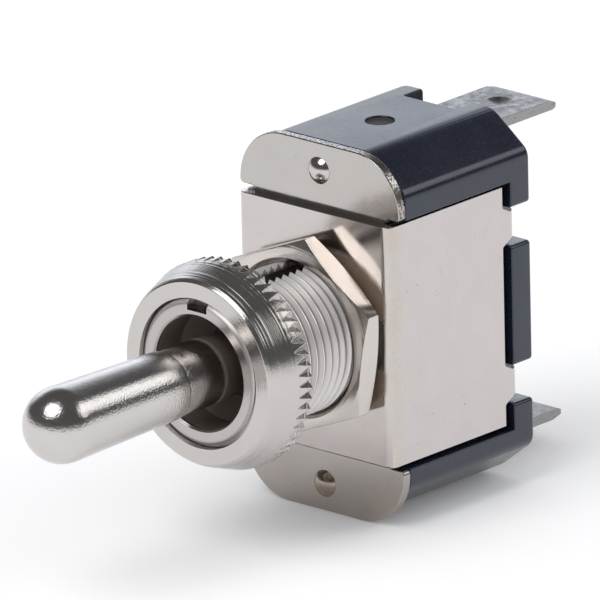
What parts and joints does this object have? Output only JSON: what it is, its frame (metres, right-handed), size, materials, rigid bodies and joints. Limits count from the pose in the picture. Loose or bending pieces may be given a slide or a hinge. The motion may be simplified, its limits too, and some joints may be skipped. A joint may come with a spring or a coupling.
{
  "type": "panel toggle switch",
  "caption": "Panel toggle switch with a bat lever, threaded bushing with hex and round nuts, folded metal bracket, black moulded base and blade terminals.",
  "frame": {"origin": "on the bushing axis, in the front face of the bracket's web", "axes": "-Y along the bushing towards the lever's tip, +Z along the long side of the body towards the line terminal, +X to the right seen from the lever"},
  "size_m": [0.0166, 0.057, 0.0298],
  "materials": {
    "moulding": "semi-gloss black phenolic moulding",
    "bracket_nickel": "satin nickel plate on folded steel",
    "plate_nickel": "satin nickel plate on steel sheet",
    "plate_rivet": "bright nickel plate",
    "bushing_nickel": "bright nickel plate on turned metal",
    "nut_nickel": "bright nickel plate on turned metal",
    "lever_nickel": "polished nickel plate",
    "spring_steel": "plain drawn wire",
    "plunger_nylon": "natural nylon",
    "contact_copper": "bare copper strip",
    "contact_silver": "silver contact face",
    "terminal_tin": "dull tin plate on brass",
    "floor_rivet": "dull tin plate on brass"
  },
  "bodies": {
    "body": {"base": "moulding", "bracket": "bracket_nickel", "front_plate": "plate_nickel", "plate_rivet_top": "plate_rivet", "plate_rivet_bottom": "plate_rivet", "bushing": "bushing_nickel", "fulcrum": "contact_copper", "line_terminal": "terminal_tin", "load_terminal": "terminal_tin", "fixed_contact": "contact_silver", "line_rivet": "floor_rivet", "load_rivet": "floor_rivet"},
    "lever": {"lever": "lever_nickel", "pivot_pin": "spring_steel", "lever_spring": "spring_steel"},
    "plunger": {"plunger": "plunger_nylon"},
    "rocker": {"rocker": "contact_copper", "moving_contact": "contact_silver"},
    "hex_nut": {"hex_nut": "nut_nickel"},
    "face_nut": {"face_nut": "nut_nickel"}
  },
  "joints": [
    {"name": "lever_tilt", "type": "hinge", "parent": "body", "child": "lever", "pos_m": [0, -0.006, 0], "axis": [-1, 0, 0], "range_deg": [-13, 13]},
    {"name": "plunger_slide", "type": "slide", "parent": "lever", "child": "plunger", "axis": [0, 1, 0], "range_m": [-0.0008, 0], "stiffness_N_per_m": 300, "deforming": ["lever_spring"]},
    {"name": "rocker_tilt", "type": "hinge", "parent": "body", "child": "rocker", "pos_m": [0, 0.0076, 0], "axis": [1, 0, 0], "range_deg": [-8.67, 8.67]},
    {"name": "hex_nut_turn", "type": "hinge", "parent": "body", "child": "hex_nut", "pos_m": [0, 0, 0], "axis": [0, -1, 0], "continuous": true},
    {"name": "face_nut_turn", "type": "hinge", "parent": "body", "child": "face_nut", "pos_m": [0, 0, 0], "axis": [0, -1, 0], "continuous": true}
  ],
  "couplings": [
    {"joint": "rocker_tilt", "follows": "lever_tilt", "ratio": 0.6667}
  ]
}
